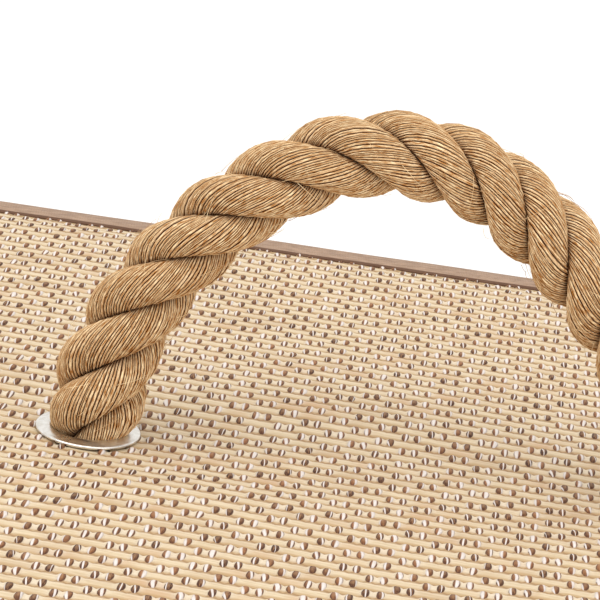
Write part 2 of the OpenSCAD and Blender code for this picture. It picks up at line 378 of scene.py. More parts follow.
def rope_material():
    """Twisted cotton-jute yarns: golden tan, with painted shade in deep brown between yarns and strands."""
    n = Nodes("rope", roughness=0.85, specular_ior_level=0.04, sheen_weight=0.01, sheen_roughness=0.4)
    across, along, strand = n.split(n.vector("fibre"))
    tone = n.value("tone")
    hairs = n.streaks(across, 9.0, along, 0.9, strand, 3.0, 0.65)
    slubs = n.streaks(across, 1.6, along, 0.22, strand, 2.0, 0.5)
    base = n.mix(n.step(hairs, 0.39, 0.63), srgb(166, 108, 48), srgb(255, 230, 186))
    base = n.mix(n.step(slubs, 0.5, 0.8, 0.0, 0.5), base, srgb(255, 232, 196))
    base = n.mix(n.times(tone, 0.32), base, srgb(158, 104, 44))
    gaps = n.streaks(across, 0.9, along, 0.34, strand, 2.0, 0.5)
    # Painted shade in the gaps between yarns, broken here and there
    yarn_gap_shade = n.times(n.step(n.value("yarn_gap_shade"), 0.1, 0.62), n.step(gaps, 0.36, 0.52, 0.5, 1.0))
    colour = n.mix(yarn_gap_shade, base, srgb(58, 16, 0))
    # Painted shade in the creases between strands
    colour = n.mix(n.step(n.value("strand_crease_shade"), 0.0, 1.0, 0.0, 0.7), colour, srgb(98, 46, 4))
    twist = n.math("SINE", n.plus(n.times(across, 9.0), n.times(along, 5.5)))
    high = n.plus(n.times(hairs, 0.8), n.times(twist, 0.12))
    normal = n.bump(high, 0.00018, 0.6)
    rough = n.step(hairs, 0.3, 0.7, 0.72, 0.9)
    return n.finish(colour, rough, normal)


def place_noise(n, scales, scale, detail=3.0, rough=0.55):
    """Noise by an object's own coordinates, stretched by scales."""
    coordinates = n.tree.nodes.new("ShaderNodeTexCoord").outputs["Object"]
    return n.noise(n.scaled(coordinates, *scales), scale, detail, rough)


def metal_material():
    n = Nodes("eyelet_metal", metallic=1.0, roughness=0.3)
    spots = place_noise(n, (1, 1, 1), 900.0, 3.0)
    cloud = place_noise(n, (1, 1, 1), 160.0, 2.0)
    colour = n.mix(n.step(spots, 0.35, 0.75), srgb(222, 218, 210), srgb(240, 238, 234))
    colour = n.mix(n.step(cloud, 0.55, 0.8, 0.0, 0.5), colour, srgb(206, 202, 196))
    rough = n.step(cloud, 0.3, 0.7, 0.24, 0.4)
    return n.finish(colour, rough, n.bump(spots, 0.00006, 0.4))


RIB_PITCH = 0.75    # between the ribs of the tapes
PICK_PITCH = 0.55   # between the threads across their ribs


def tape_material():
    """Taupe grosgrain binding, ribbed along its length: "ribs" counts across."""
    n = Nodes("tape", roughness=0.75, sheen_weight=0.2, sheen_roughness=0.4)
    across, along, _ = n.split(n.vector("ribs"))
    rib = n.math("SINE", n.times(across, 2 * np.pi / RIB_PITCH))
    pick = n.math("SINE", n.times(along, 2 * np.pi / PICK_PITCH))
    wear = n.streaks(across, 2.0, along, 0.25, 0.0, 3.0, 0.6)
    colour = n.mix(n.step(wear, 0.3, 0.7), srgb(142, 110, 84), srgb(182, 148, 120))
    # Painted shade in the troughs between ribs
    colour = n.mix(n.step(rib, 0.2, -1.0, 0.0, 0.45), colour, srgb(112, 90, 74))
    # Painted shadow along the tape's inner edge, where it turns under onto the cloth
    colour = n.mix(n.times(n.value("hidden"), 0.85), colour, srgb(84, 52, 32))
    high = n.plus(n.times(rib, 0.6), n.times(pick, 0.25))
    return n.finish(colour, None, n.bump(high, 0.00010, 0.7))


def lining_material():
    """Thin off-white non-woven lining: laid fibres under rows of pressed points."""
    n = Nodes("lining", roughness=0.85, specular_ior_level=0.25, sheen_weight=0.08, sheen_roughness=0.5)
    coordinates = n.tree.nodes.new("ShaderNodeTexCoord").outputs["Object"]
    x, y, z = n.split(coordinates)
    spacing = 2 * np.pi / (1.6 * MM)
    first = n.math("SINE", n.times(n.plus(x, z), spacing))
    second = n.math("SINE", n.times(n.plus(y, z), spacing))
    pressed = n.step(n.times(first, second), 0.35, 0.75)
    along_y, along_x = (place_noise(n, way, 900.0, 3.0, 0.65) for way in ((1, 0.12, 1), (0.12, 1, 1)))
    fibres = n.mix(0.5, along_y, along_x)
    cloud = place_noise(n, (1, 1, 1), 22.0, 4.0, 0.6)
    colour = n.mix(n.step(fibres, 0.38, 0.62), srgb(214, 204, 184), srgb(240, 234, 220))
    colour = n.mix(n.times(pressed, 0.4), colour, srgb(196, 184, 160))
    colour = n.mix(n.step(cloud, 0.45, 0.75, 0.0, 0.3), colour, srgb(206, 194, 170))
    high = n.minus(n.times(fibres, 0.5), pressed)
    return n.finish(colour, None, n.bump(high, 0.00010, 0.5))


def board_material():
    """Pressed paperboard."""
    n = Nodes("board", roughness=0.9)
    flecks = place_noise(n, (1, 1, 1), 600.0, 4.0, 0.7)
    cloud = place_noise(n, (1, 1, 0.4), 40.0, 3.0)
    colour = n.mix(n.step(flecks, 0.35, 0.7), srgb(150, 122, 88), srgb(196, 168, 130))
    colour = n.mix(n.step(cloud, 0.4, 0.7, 0.0, 0.35), colour, srgb(170, 138, 100))
    return n.finish(colour, None, n.bump(flecks, 0.0001, 0.5))


def thread_material():
    """Twisted sewing thread, each stitch a slightly different shade."""
    n = Nodes("thread", roughness=0.7, sheen_weight=0.15, sheen_roughness=0.4)
    stitch, _, _ = n.split(n.vector("ribs"))
    shade = n.random(n.join(n.math("FLOOR", stitch)))
    fibres = place_noise(n, (1, 1, 1), 2600.0, 3.0, 0.6)
    colour = n.mix(n.step(fibres, 0.35, 0.7), srgb(196, 178, 152), srgb(228, 214, 192))
    colour = n.mix(n.times(shade, 0.4), colour, srgb(180, 160, 132))
    return n.finish(colour, None, n.bump(fibres, 0.00008, 0.6))


WOVEN = woven_material()
ROPE = rope_material()
METAL = metal_material()
TAPE = tape_material()
LINING = lining_material()
BOARD = board_material()
THREAD = thread_material()


# ---------------------------------------------------------------- rope

ROPE_R = 7.3         # outer radius of the laid rope
STRAND_R = 3.39      # radius of one strand
STRAND_D = 3.91      # distance of a strand's middle from the rope's middle
LAY = 35.8           # length of one full turn of a strand in straight rope
ARCH_LAY = 33.7      # the same in the arch
PAST_LAY = 30.1      # and past its top
CROWN_AT = 95.0      # where along the rope that changes
FIRST_TURN = 45.1    # degrees that the strands have turned at the rope's left end
YARN_TURN = 2.6      # how much faster the yarns turn back than the strands turn
RISE = 56.0          # height of the arch's middle line over the lid
CROWN_R = 31.0       # radius of the arch's top
CROWN_LEFT = 30      # degrees that the top's arc turns on its left side
CROWN_RIGHT = 33     # and on its right side
TOP_SHIFT = 4.7      # how far the arch's top is left of the lid's middle
YARN_DEPTH = 0.36    # depth of the grooves between its yarns
YARN_SPREAD = 0.06   # how much the yarns differ in height
SLUB_DEPTH = 0.04    # how much a yarn swells and thins along its length
STRAND_GAP = 0.04    # half the gap between two strands that touch
PRESS_SOFT = 0.03    # how softly they start to flatten against each other
HAIR_R = 0.055       # radius of a loose fibre at its root
KNOT_SIZE = 0.77     # how thick the rope is where it is pulled tight in its knots
KNOT_TURNS = 1.45    # turns of the rope round each knot
KNOT_TOP = 234.0     # height where a knot begins
KNOT_UP = 17.5       # height of a knot's last turn over its tail's end
THROUGH = 18.0       # how far the rope's middle line goes down through each hole


def rope_leg(half, turn):
    """One side of the arch, from under the lid up to its crown, with x outwards
    from the arch's top. The crown's arc turns by that angle on this side."""
    turn = np.radians(turn)
    shoulder = np.array([CROWN_R * np.sin(turn), RISE - CROWN_R * (1 - np.cos(turn))])
    reach = np.array([half - shoulder[0], shoulder[1]])
    radius = (reach @ reach) / (2 * (shoulder[1] * np.cos(turn) - reach[0] * np.sin(turn)))
    centre = shoulder - radius * np.array([np.sin(turn), np.cos(turn)])
    angle = np.linspace(np.arcsin(-centre[1] / radius), np.pi / 2 - turn, 400)
    leg = centre + radius * np.stack([np.cos(angle), np.sin(angle)], 1)
    angle = np.linspace(np.pi / 2 - turn, np.pi / 2, 200)[1:]
    crown = [0, RISE - CROWN_R] + CROWN_R * np.stack([np.cos(angle), np.sin(angle)], 1)
    return np.concatenate([[[half, -THROUGH]], leg, crown])


def rope_line():
    """The rope's middle from its left knot to its right one: the same arcs as
    the CAD's handle, and straight through each eyelet."""
    left = rope_leg(EYELET_X - TOP_SHIFT, CROWN_LEFT) * [-1, 1]
    right = rope_leg(EYELET_X + TOP_SHIFT, CROWN_RIGHT)
    line = np.concatenate([left, right[-2::-1]])
    return np.stack([line[:, 0] - TOP_SHIFT, 0 * line[:, 0], line[:, 1] + LID_Z], 1)


def carried(line, gap=0.5):
    """Even steps along a line, with its tangents and the normals carried along it,
    the first of them to the left."""
    run = run_along(line)
    s = np.linspace(0, run[-1], int(run[-1] / gap) + 1)
    p = points_at(s, run, line)
    soft = np.ones(9) / 9
    padded = np.concatenate([2 * p[:1] - p[4:0:-1], p, 2 * p[-1:] - p[-2:-6:-1]])
    p = np.stack([np.convolve(padded[:, k], soft, "valid") for k in range(3)], 1)
    t = np.gradient(p, s, axis=0)
    t /= np.linalg.norm(t, axis=1)[:, None]
    normals = [np.array([-1.0, 0.0, 0.0])]
    for k in range(1, len(s)):
        v = normals[-1] - t[k] * (normals[-1] @ t[k])
        normals.append(v / np.linalg.norm(v))
    return s, p, t, np.array(normals)


def laid_rope(name, path, size, turned, yarns, columns, step, seed, hairs):
    """Three strands laid right-handed along the path, each of many yarns that
    turn back the other way. size(s) scales the rope's thickness, and turned(s)
    is how far the strands have turned there."""
    s, p, t, n = path
    b = np.cross(t, n)
    draw = np.random.default_rng(seed)
    turn = 2 * np.pi / LAY
    pitch = np.arctan(turn * STRAND_D)
    station = np.arange(3 * step, s[-1] - 2 * step, step)[:, None]
    column = np.arange(yarns * columns)[None]
    share = (column % columns) / columns
    rounded = np.sqrt(np.clip(1 - (2 * share - 1) ** 2, 0, 1))
    yarn = column // columns
    points, faces, values = [], [], {"yarn_gap_shade": [], "strand_crease_shade": [], "tone": [], "fibre": []}
    for strand in range(3):
        wide = draw.uniform(0.6, 1.4, yarns)
        edges = np.concatenate([[0], np.cumsum(wide)]) / wide.sum()
        around = 2 * np.pi * (edges[yarn] + share * (edges[yarn + 1] - edges[yarn]))
        thick = draw.normal(0, YARN_SPREAD, yarns)[yarn]
        tone = np.clip(draw.normal(0.35, 0.36, yarns), 0, 1)[yarn]
        drift = draw.uniform(0, 50, yarns)[yarn]
        slub = waves(station, drift * 7, seed + strand, 24.0)
        wander = 0.07 * waves(station / 26, around * 0.8, seed + 5 + strand, 1.0)
        scale = size(station)
        radius = scale * (STRAND_R - YARN_DEPTH * (1 - rounded) + thick + SLUB_DEPTH * slub)
        radius = radius * (1 + 0.015 * waves(station, 0 * column, seed + 11 + strand, 60.0))
        phi = around + wander - YARN_TURN * turn * station
        own = 2 * np.pi * strand / 3
        middle = own + turned(station)
        out = scale * STRAND_D + radius * np.cos(phi)
        side = radius * np.sin(phi) * np.cos(pitch)
        place = station - radius * np.sin(phi) * np.sin(pitch)
        x = out * np.cos(middle) - side * np.sin(middle)
        y = out * np.sin(middle) + side * np.cos(middle)
        # Strands press flat against each other halfway between their middles
        far = np.hypot(x, y)
        angle = np.arctan2(y, x) - (own + turned(place))
        angle = (angle + np.pi) % (2 * np.pi) - np.pi
        most = np.pi / 3 - STRAND_GAP / np.maximum(far, 1.0)
        excess = np.clip((np.abs(angle) - most) / PRESS_SOFT, -60, 60)
        pressed = most - PRESS_SOFT * np.log1p(np.exp(-excess))
        angle = np.sign(angle) * np.clip(pressed, 0, None)
        full = own + turned(place) + angle
        x, y = far * np.cos(full), far * np.sin(full)
        at = [points_at(place, s, v) for v in (p, n, b)]
        spot = at[0] + x[..., None] * at[1] + y[..., None] * at[2]
        faces += tube_faces(len(station), column.size, len(points) * spot[..., 0].size)
        points.append(spot.reshape(-1, 3))
        deep = 1 - far / (scale * ROPE_R)
        ones = np.ones_like(far)
        # These mark where the rope's material paints shade: in the gaps between yarns and in the creases
        # between strands
        values["yarn_gap_shade"].append(((1 - rounded) * ones).ravel())
        values["strand_crease_shade"].append(smooth((deep - 0.26) / 0.22).ravel())
        values["tone"].append((np.clip(tone + 0.14 * slub, 0, 1) * ones).ravel())
        fibre = [(yarn + share) * 0.56 * ones, station * 1.2 * ones + drift, 7.0 * strand * ones]
        values["fibre"].append(np.stack(fibre, -1).reshape(-1, 3))
    count = sum(len(part) for part in points)
    hair_points, hair_faces, hair_fibre = rope_hairs(path, size, hairs, count, draw)
    points.append(hair_points)
    faces += hair_faces
    values["fibre"].append(hair_fibre)
    for key, value in (("yarn_gap_shade", 0.0), ("strand_crease_shade", 0.0), ("tone", 0.1)):
        values[key].append(np.full(len(hair_points), value))
    values = {key: np.concatenate(v) for key, v in values.items()}
    return make_piece(name, np.concatenate(points), faces, ROPE, values=values)


def rope_hairs(path, size, hairs, first, draw):
    """Short loose fibres that lift off the rope here and there."""
    s, p, t, n = path
    b = np.cross(t, n)
    share = np.linspace(0, 1, 6)
    points, faces, fibre = [], [], []
    for hair in range(hairs):
        length, lift = draw.uniform(2.0, 5.0), draw.uniform(0.1, 0.8)
        start, angle = draw.uniform(8, s[-1] - 14), draw.uniform(0, 2 * np.pi)
        bend = draw.normal(0, 0.5)
        away = size(start) * ROPE_R - 0.45 + lift * np.sin(share * draw.uniform(1.5, 2.9))
        around = angle + (share * draw.normal(0, 0.35) + bend * share ** 2 * 0.4)
        run = start + share * length
        at = [points_at(run, s, v) for v in (p, n, b)]
        line = at[0] + (away * np.cos(around))[:, None] * at[1] + (away * np.sin(around))[:, None] * at[2]
        ahead = np.gradient(line, axis=0)
        ahead /= np.linalg.norm(ahead, axis=1)[:, None]
        side = np.cross(ahead, at[1])
        side /= np.linalg.norm(side, axis=1)[:, None]
        other = np.cross(ahead, side)
        thick = (HAIR_R * (1 - 0.6 * share))[:, None]
        rings = [line + thick * (np.cos(a) * side + np.sin(a) * other) for a in (0, 2.1, 4.2)]
        faces += tube_faces(len(share), 3, first + 3 * len(share) * len(points))
        points.append(np.stack(rings, 1).reshape(-1, 3))
        fibre.append(np.tile([hair * 0.37, start, 3.0], (3 * len(share), 1)))
    return np.concatenate(points), faces, np.concatenate(fibre)


def rope_size(above):
    """The rope is squeezed where it fills the hole, swells over the eyelet and
    comes back to its own thickness up the arch."""
    heights = [-4, 0.3, 2, 4, 6.5, 10, 18, 32, 55]
    sizes = [0.84, 0.845, 0.97, 1.11, 1.165, 1.15, 1.07, 1.0, 0.98]
    return np.interp(above, heights, sizes)


def rope_turned(s):
    """The strands' turn at s, in radians. The lay tightens a little past the crown."""
    first = np.radians(FIRST_TURN) + 2 * np.pi * s / ARCH_LAY
    return first + np.clip(s - CROWN_AT, 0, None) * 2 * np.pi * (1 / PAST_LAY - 1 / ARCH_LAY)


def rope_knots():
    """Under each hole the rope is wrapped round itself in a tight stopper knot,
    and ends in a short straight tail."""
    knots = []
    for side, name in ((-1, "left"), (1, "right")):
        low, high = box_mm("rope_end_" + name)
        half = (high[0] - low[0]) / 2
        knot = low[2] + KNOT_UP
        wrap = half - KNOT_SIZE * ROPE_R
        t = np.linspace(0, 1, 300)
        out = wrap * smooth(t / 0.15) * smooth((1 - t) / 0.15)
        angle = 2 * np.pi * KNOT_TURNS * t * side
        z = KNOT_TOP - 1 - (KNOT_TOP - 1 - knot) * t
        coil = np.stack([out * np.cos(angle), out * np.sin(angle), z], 1)
        path = np.concatenate([[[0, 0, KNOT_TOP + 3]], coil, [[0, 0, low[2]]]])
        path = path + [side * EYELET_X, 0, 0]
        piece = laid_rope("rope_knot_" + name, carried(path), lambda s: 0 * s + KNOT_SIZE,
                          lambda s: 2 * np.pi * s / (LAY * KNOT_SIZE), 24, 3, 1.0, 41 + side, 60)
        belongs(piece, "lid", "rope_end_" + name)
        knots.append(piece)
    return knots


arch = carried(rope_line())
whole = arch[0][-1]
knots = rope_knots()
handle = laid_rope(
    "rope", arch,
    lambda s: rope_size(np.minimum(s, whole - s) - THROUGH),
    rope_turned, 38, 4, 1.0, 3, 260,
)
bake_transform(handle)
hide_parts("rope_handle")


# ---------------------------------------------------------------- woven cloth

WARP_PITCH = 2.2225
ROW_PITCH = 2.93
CLOTH_THICK = 1.15   # from the CAD's face in to the cloth's flat back
BELOW_FACE = -1.0    # heights under this are on the cloth's back
FINE = ([0.0, 0.164, 0.276, 0.5, 0.724, 0.836], [0.0, 0.07, 0.22, 0.5, 0.78, 0.93])
COARSE = ([0.0, 0.5], [0.0, 0.5])


WEFT_LOW, WEFT_FALL = -0.08, 0.24   # the weft band's middle, and its fall to each side
PAIR_RISE = 0.07    # how much it rises on one side of each pair of warps, and dips on the other
WARP_LOW, WARP_RISE = -0.12, 0.52   # a warp float's edge, and its dome over that
FLOAT_END = 0.85    # share of the dome that is gone at its ends
WARP_DIP = 0.12     # depth of the crease in the weft beside a float


def weave_height(across, along, over):
    """Height of the cloth's face over its weft crests, from the position in a crossing."""
    u, v = across - np.floor(across) - 0.5, along - np.floor(along) - 0.5
    rise = PAIR_RISE * np.cos(2 * np.pi * (across + 2 * np.floor(along)) / 4)
    weft = -WEFT_FALL * np.abs(2 * v) ** 3.0 + WEFT_LOW + rise
    side = np.abs(u) / DOT_HALF
    dome = np.sqrt(np.clip(1 - side ** 2, 0, 1))
    end = 1 - FLOAT_END * np.abs(2 * v) ** 2.2
    warp = WARP_LOW + WARP_RISE * dome * end
    dip = -WARP_DIP * np.exp(-((side - 1.25) / 0.25) ** 2) * np.clip(end, 0, 1)
    return np.where(over & (side <= 1.02), np.maximum(warp, weft - 0.2), weft + np.where(over, dip, 0))


def is_over(warp, row):
    return (warp + 2 * row + 2) % 4 < 1.5


FLOAT_SHIFT = 0.035   # how much the warp floats differ in place, as a share of the pitch
FLOAT_SIZE = 0.045    # how much they differ in height
ROW_WANDER = 0.045    # how far the rows wander, as a share of their pitch
NARROWED = 0.62       # share of its width that a float loses at its ends


def woven(name, warps, rows, detail, place, panel, seed, hole=None, lift=0.0):
    """A closed slab of woven cloth over whole crossings. place takes the
    crossing coordinates and the height to points in millimetres."""
    us, vs = detail
    draw = np.random.default_rng(seed)
    n_warp, n_row = warps[1] - warps[0], rows[1] - rows[0]
    across = np.append((np.arange(*warps)[:, None] + us).ravel(), warps[1] + us[0])
    along = np.append((np.arange(*rows)[:, None] + vs).ravel(), rows[1] + vs[0])
    nu, nv = len(us), len(vs)
    A, B = np.meshgrid(across, along)
    cell_w, cell_r = np.floor(A).astype(int), np.floor(B + 1e-9).astype(int)
    over = is_over(cell_w, cell_r)
    u, v = A - cell_w - 0.5, B - cell_r - 0.5
    narrow = np.where(over, 1 - NARROWED * np.abs(2 * v) ** 3.0, 1.0)
    if nu > 2:
        u = np.where(np.abs(u) < 0.49, u * narrow, u)
    A = cell_w + 0.5 + u
    height = weave_height(A, B, over) + lift
    shift = draw.normal(0, FLOAT_SHIFT, (n_row + 2, n_warp + 2))
    size = draw.normal(0, FLOAT_SIZE, (n_row + 2, n_warp + 2))
    pick = (np.clip(cell_r - rows[0], 0, n_row), np.clip(cell_w - warps[0], 0, n_warp))
    loose = np.where(over & (np.abs(u) < 0.49), shift[pick], 0.0) * (1 - np.abs(2 * v) ** 2)
    height = height + np.where(over & (np.abs(u) < 0.3), size[pick] * 0.8, 0) * (1 - np.abs(2 * v) ** 2)
    wander = ROW_WANDER * waves(A / 9.0, cell_r * 5.0, 21, 1.0)
    spots = place(A + loose, B + wander * (1 - np.abs(2 * v) ** 6), height)
    keep = np.ones((n_row, n_warp), bool)
    if hole is not None:
        keep = hole(np.arange(*warps)[None] + 0.5, np.arange(*rows)[:, None] + 0.5)
    CA, CB = np.meshgrid(np.arange(warps[0], warps[1] + 1) + us[0], np.arange(rows[0], rows[1] + 1) + vs[0])
    under = place(CA, CB, np.full(CA.shape, -CLOTH_THICK))
    used, faces = slab_faces(keep, nv, nu)
    points = np.concatenate([spots.reshape(-1, 3), under.reshape(-1, 3)])
    coordinates = np.concatenate([
        np.stack([A, B, np.full(A.shape, panel)], -1).reshape(-1, 3),
        np.stack([CA, CB, np.full(CA.shape, panel)], -1).reshape(-1, 3),
    ])
    return make_piece(name, points[used], faces, WOVEN, values={"weave": coordinates[used]},
                      sharp=[f[0] for f in faces[2:]])


# The lid's top. Rows run along X; the warps lean a little, less so at the ends.
FIRST_WARP = -39.09
LEAN = 0.077         # how far the warps go sideways for their length
FLANGE_CUT = 7.2     # radius of the hole cut for each eyelet, under its flange


UPRIGHT_FROM = 100    # the warps lose their lean from here out to the lid's ends
EYELET_DIP = 0.25     # how far the cloth is pressed down round each eyelet


def lid_place(across, along, height):
    """A point of the lid's cloth: a little puffed in the middle, pushed aside by the
    holes and pressed down by the flanges."""
    y = along * ROW_PITCH - ROW_PITCH / 2
    x = FIRST_WARP - WARP_PITCH / 2 + across * WARP_PITCH
    x = x + LEAN * y * (1 - smooth((np.abs(x) - UPRIGHT_FROM) / (LID_X - UPRIGHT_FROM)))
    puff = smooth((np.abs(y) - 7) / 18) * smooth((LID_Y - 3 - np.abs(y)) / 14)
    puff = puff * smooth((LID_X - 3 - np.abs(x)) / 14)
    puff = puff * (0.85 + 0.25 * waves(x, y, 5, 90.0))
    z = LID_Z + height + np.where(height > BELOW_FACE, puff, 0)
    for side in (-1, 1):
        dx = x - side * EYELET_X
        far = np.hypot(dx, y)
        push = np.maximum(FLANGE_CUT / np.maximum(far, 0.01), 1.0)
        x, y = side * EYELET_X + dx * push, y * push
        z = z - EYELET_DIP * np.where(height > BELOW_FACE, 1 - smooth((far - 7) / 5), 0)
    return np.stack([x, y, z], -1)


def off_eyelets(across, along):
    """Whether a crossing is clear of both eyelets."""
    y = along * ROW_PITCH - ROW_PITCH / 2
    x = FIRST_WARP - WARP_PITCH / 2 + across * WARP_PITCH + LEAN * y
    return np.minimum(np.hypot(x - EYELET_X, y), np.hypot(x + EYELET_X, y)) > FLANGE_CUT + 0.2


def lid_top():
    warp_edges, row_edges = [-67, -10, 47, 103], [-42, 1, 43]
    for row in range(2):
        for part in range(3):
            warps = (warp_edges[part], warp_edges[part + 1])
            rows = (row_edges[row], row_edges[row + 1])
            piece = woven(f"lid_top_weave_{row}{part}", warps, rows, FINE, lid_place,
                          0.0, 20 + 3 * row + part, off_eyelets)
            belongs(piece, "lid", "lid_top_cloth")


lid_top()


CORNER = 1.8        # radius of the cloth's face at the bin's corners
WALL_LIFT = -0.3    # how far the walls' weft crests lie inside the CAD's face
BASE_LIFT = -0.62   # the same for the base


def cloth_wall(name, body, board, half, out, bottom, top, turn, puff, panel):
    """One woven side: half its length, its face's distance out, and the quarter
    turns to its side. Each end is wrapped half way round the corner."""
    arc = CORNER * np.pi / 4
    flat = half - CORNER
    length = 2 * (flat + arc)
    warps, rows = int(length / WARP_PITCH), int((top - bottom) / ROW_PITCH)

    def place(across, along, height):
        p = (across / warps - 0.5) * length
        q = bottom + along / rows * (top - bottom)
        swell = puff * smooth((half - 2 - np.abs(p)) / 40) * smooth((q - bottom) / 40)
        swell = swell * smooth((BIN_TOP - 50 - q) / 40) * (0.7 + 0.4 * waves(p, q, panel, 130.0))
        height = height + np.where(height > BELOW_FACE, swell, 0)
        a = np.maximum(np.abs(p) - flat, 0) / CORNER
        x = np.sign(p) * (np.minimum(np.abs(p), flat) + (CORNER + height) * np.sin(a))
        y = -(out - CORNER + (CORNER + height) * np.cos(a))
        for _ in range(turn):
            x, y = -y, x
        return np.stack([x, y, q + 0 * x], -1)

    piece = woven(name + "_weave", (0, warps), (0, rows), COARSE, place, panel, 50 + panel, lift=WALL_LIFT)
    belongs(piece, body, name)


def cloth_walls():
    sides = ("front", "right", "back", "left")
    for k, side in enumerate(sides):
        low, high = box_mm("lid_front_cloth")
        reach = (LID_X, LID_Y) if k % 2 == 0 else (LID_Y, LID_X)
        cloth_wall(f"lid_{side}_cloth", "lid", f"lid_{side}_board", *reach, low[2] + 0.4, high[2] + 0.2,
                   k, 0.0, 10 + k)
        reach = (BIN_X, BIN_Y) if k % 2 == 0 else (BIN_Y, BIN_X)
        cloth_wall(f"{side}_cloth", "bin", f"{side}_board", *reach, BIN_LOW[2], BIN_TOP,
                   k, 0.9, 20 + k)


def base_cloth():
    low, high = box_mm("base_cloth")
    warps, rows = int((high[0] - low[0]) / WARP_PITCH), int((high[1] - low[1]) / ROW_PITCH)

    def place(across, along, height):
        x = (0.5 - across / warps) * (high[0] - low[0])
        y = (along / rows - 0.5) * (high[1] - low[1])
        return np.stack([x, y, low[2] - height], -1)

    piece = woven("base_weave", (0, warps), (0, rows), COARSE, place, 30, 61, lift=BASE_LIFT)
    belongs(piece, "bin", "base_cloth")


cloth_walls()
base_cloth()


# ---------------------------------------------------------------- eyelets

def lathe(name, profile, centre, sides, material):
    """A closed ring turned about the vertical line through centre."""
    angle = np.linspace(0, 2 * np.pi, sides, endpoint=False)[:, None]
    r, z = np.array(profile).T
    points = np.stack([centre[0] + r * np.cos(angle), centre[1] + r * np.sin(angle),
                       centre[2] + z + 0 * angle], -1)
    return make_piece(name, points.reshape(-1, 3), [ring_faces(sides, len(profile))], material)


FLANGE = 2.8        # width of an eyelet's flange, from its hole to its edge


def eyelets():
    hole = (EYELET_HIGH[0] - EYELET_LOW[0]) / 2 - FLANGE
    edge = hole + FLANGE
    washer_low = box_mm("washer_right")[0][2] - LID_Z
    profile = [(hole, washer_low - 0.5), (hole, -0.6)]
    # The lip rolls out of the hole, over a low dome and down to a rounded rim
    for angle in np.radians(np.linspace(180, 100, 8)):
        profile.append((hole + 0.75 + 0.75 * np.cos(angle), 0.22 + 0.78 * np.sin(angle)))
    for share in np.linspace(0.12, 0.86, 8):
        profile.append((hole + 0.62 + share * (edge - hole - 0.95), 1.0 - 0.42 * share ** 2))
    for angle in np.radians(np.linspace(70, -80, 8)):
        profile.append((edge - 0.32 + 0.32 * np.cos(angle), 0.33 + 0.32 * np.sin(angle)))
    profile += [(edge - 0.9, -0.02), (hole + 0.6, -0.02), (hole + 0.6, washer_low - 0.3),
                (hole + 2.0, washer_low - 0.15), (hole + 2.1, washer_low - 0.4),
                (hole + 1.8, washer_low - 0.6), (hole + 0.5, washer_low - 0.62)]
    for name, side in (("left", -1), ("right", 1)):
        piece = lathe(f"eyelet_ring_{name}", profile[::-1], (side * EYELET_X, 0, LID_Z), 96, METAL)
        belongs(piece, "lid", "eyelet_" + name)


eyelets()


# ---------------------------------------------------------------- tapes

CORNER_STEPS = 6


def rounded_loop(half_x, half_y, radius, count_x, count_y):
    """Points round a rectangle with rounded corners, anticlockwise, and the
    length run so far. The number of points doesn't depend on the sizes."""
    radius = max(radius, 0.3)
    turns, points = [], []
    for k, (x, y) in enumerate(((1, -1), (1, 1), (-1, 1), (-1, -1))):
        angle = np.radians(90 * (k - 1) + np.linspace(0, 90, CORNER_STEPS + 1))
        centre = np.array([x * (half_x - radius), y * (half_y - radius)])
        turns.append(centre + radius * np.stack([np.cos(angle), np.sin(angle)], 1))
    for k, turn in enumerate(turns):
        share = np.linspace(0, 1, (count_x if k % 2 else count_y) + 1)[1:-1, None]
        points += [turn, turn[-1] + (turns[(k + 1) % 4][0] - turn[-1]) * share]
    points = np.concatenate(points)
    return points, run_along(points)


def swept_band(name, half_x, half_y, radius, profile, material, seed, wave=0.0, ripple=0.0, gap=4.0,
               hidden=()):
    """A closed profile of (inwards, height) pairs swept round a rectangle, which
    wave lifts and lowers by about that much. Points more than 0.4 inwards go up to
    ripple further in. The profile's points in hidden are marked for the material
    as lying in a shadow."""
    count_x, count_y = int(2 * half_x / gap), int(2 * half_y / gap)
    width = run_along(np.array(profile))
    spots, ribs = [], []
    for (inward, z), across in zip(profile, width):
        points, run = rounded_loop(half_x - inward, half_y - inward, radius - inward, count_x, count_y)
        lift = wave * waves(run, across * 3.0, seed, 38.0)
        if ripple and inward > 0.4:
            further, _ = rounded_loop(half_x - inward - 0.1, half_y - inward - 0.1, radius - inward,
                                      count_x, count_y)
            push = 0.25 + 0.18 * waves(run, z + 0 * run, seed, 60.0)
            push = push + 0.12 * waves(run, z + 0 * run, seed + 1, 22.0)
            points = points + (further - points) / 0.1 * (ripple * np.clip(push, 0, 1))[:, None]
        spots.append(np.column_stack([points, z + lift]))
        ribs.append(np.column_stack([np.full(len(run), across), run, 0 * run]))
    spots, ribs = np.stack(spots, 1), np.stack(ribs, 1)
    shadow = np.zeros(spots.shape[:2])
    shadow[:, list(hidden)] = 1.0
    return make_piece(name, spots.reshape(-1, 3), [ring_faces(len(spots), len(profile))], material,
                      values={"ribs": ribs.reshape(-1, 3), "hidden": shadow.ravel()})


RIB_DEPTH = 0.05
SUNK = 0.06         # how far the ribs' middles lie inside the tape's outer face
TAPE_CORNER = 2.2   # radius of the tapes' outer corners
FOLD = 1.5          # radius where the tape folds over
TAPE_THICK = 0.8
WALL_THICK = 4.2    # cloth, board and lining, between the two sides of a tape


def ribbed(start, end, count, outward):
    """Points from start to end of a profile, with fine ribs raised outward."""
    start, end, outward = np.array(start, float), np.array(end, float), np.array(outward, float)
    share = np.linspace(0, 1, count)
    rib = RIB_DEPTH * np.cos(2 * np.pi * share * np.linalg.norm(end - start) / RIB_PITCH)
    return [tuple(p) for p in start + (end - start) * share[:, None] + outward * rib[:, None]]


def bend(centre, radius, first, last):
    """Points of a profile round an arc."""
    angle = np.radians(np.linspace(first, last, 5))
    return [(centre[0] + radius * np.cos(a), centre[1] + radius * np.sin(a)) for a in angle]


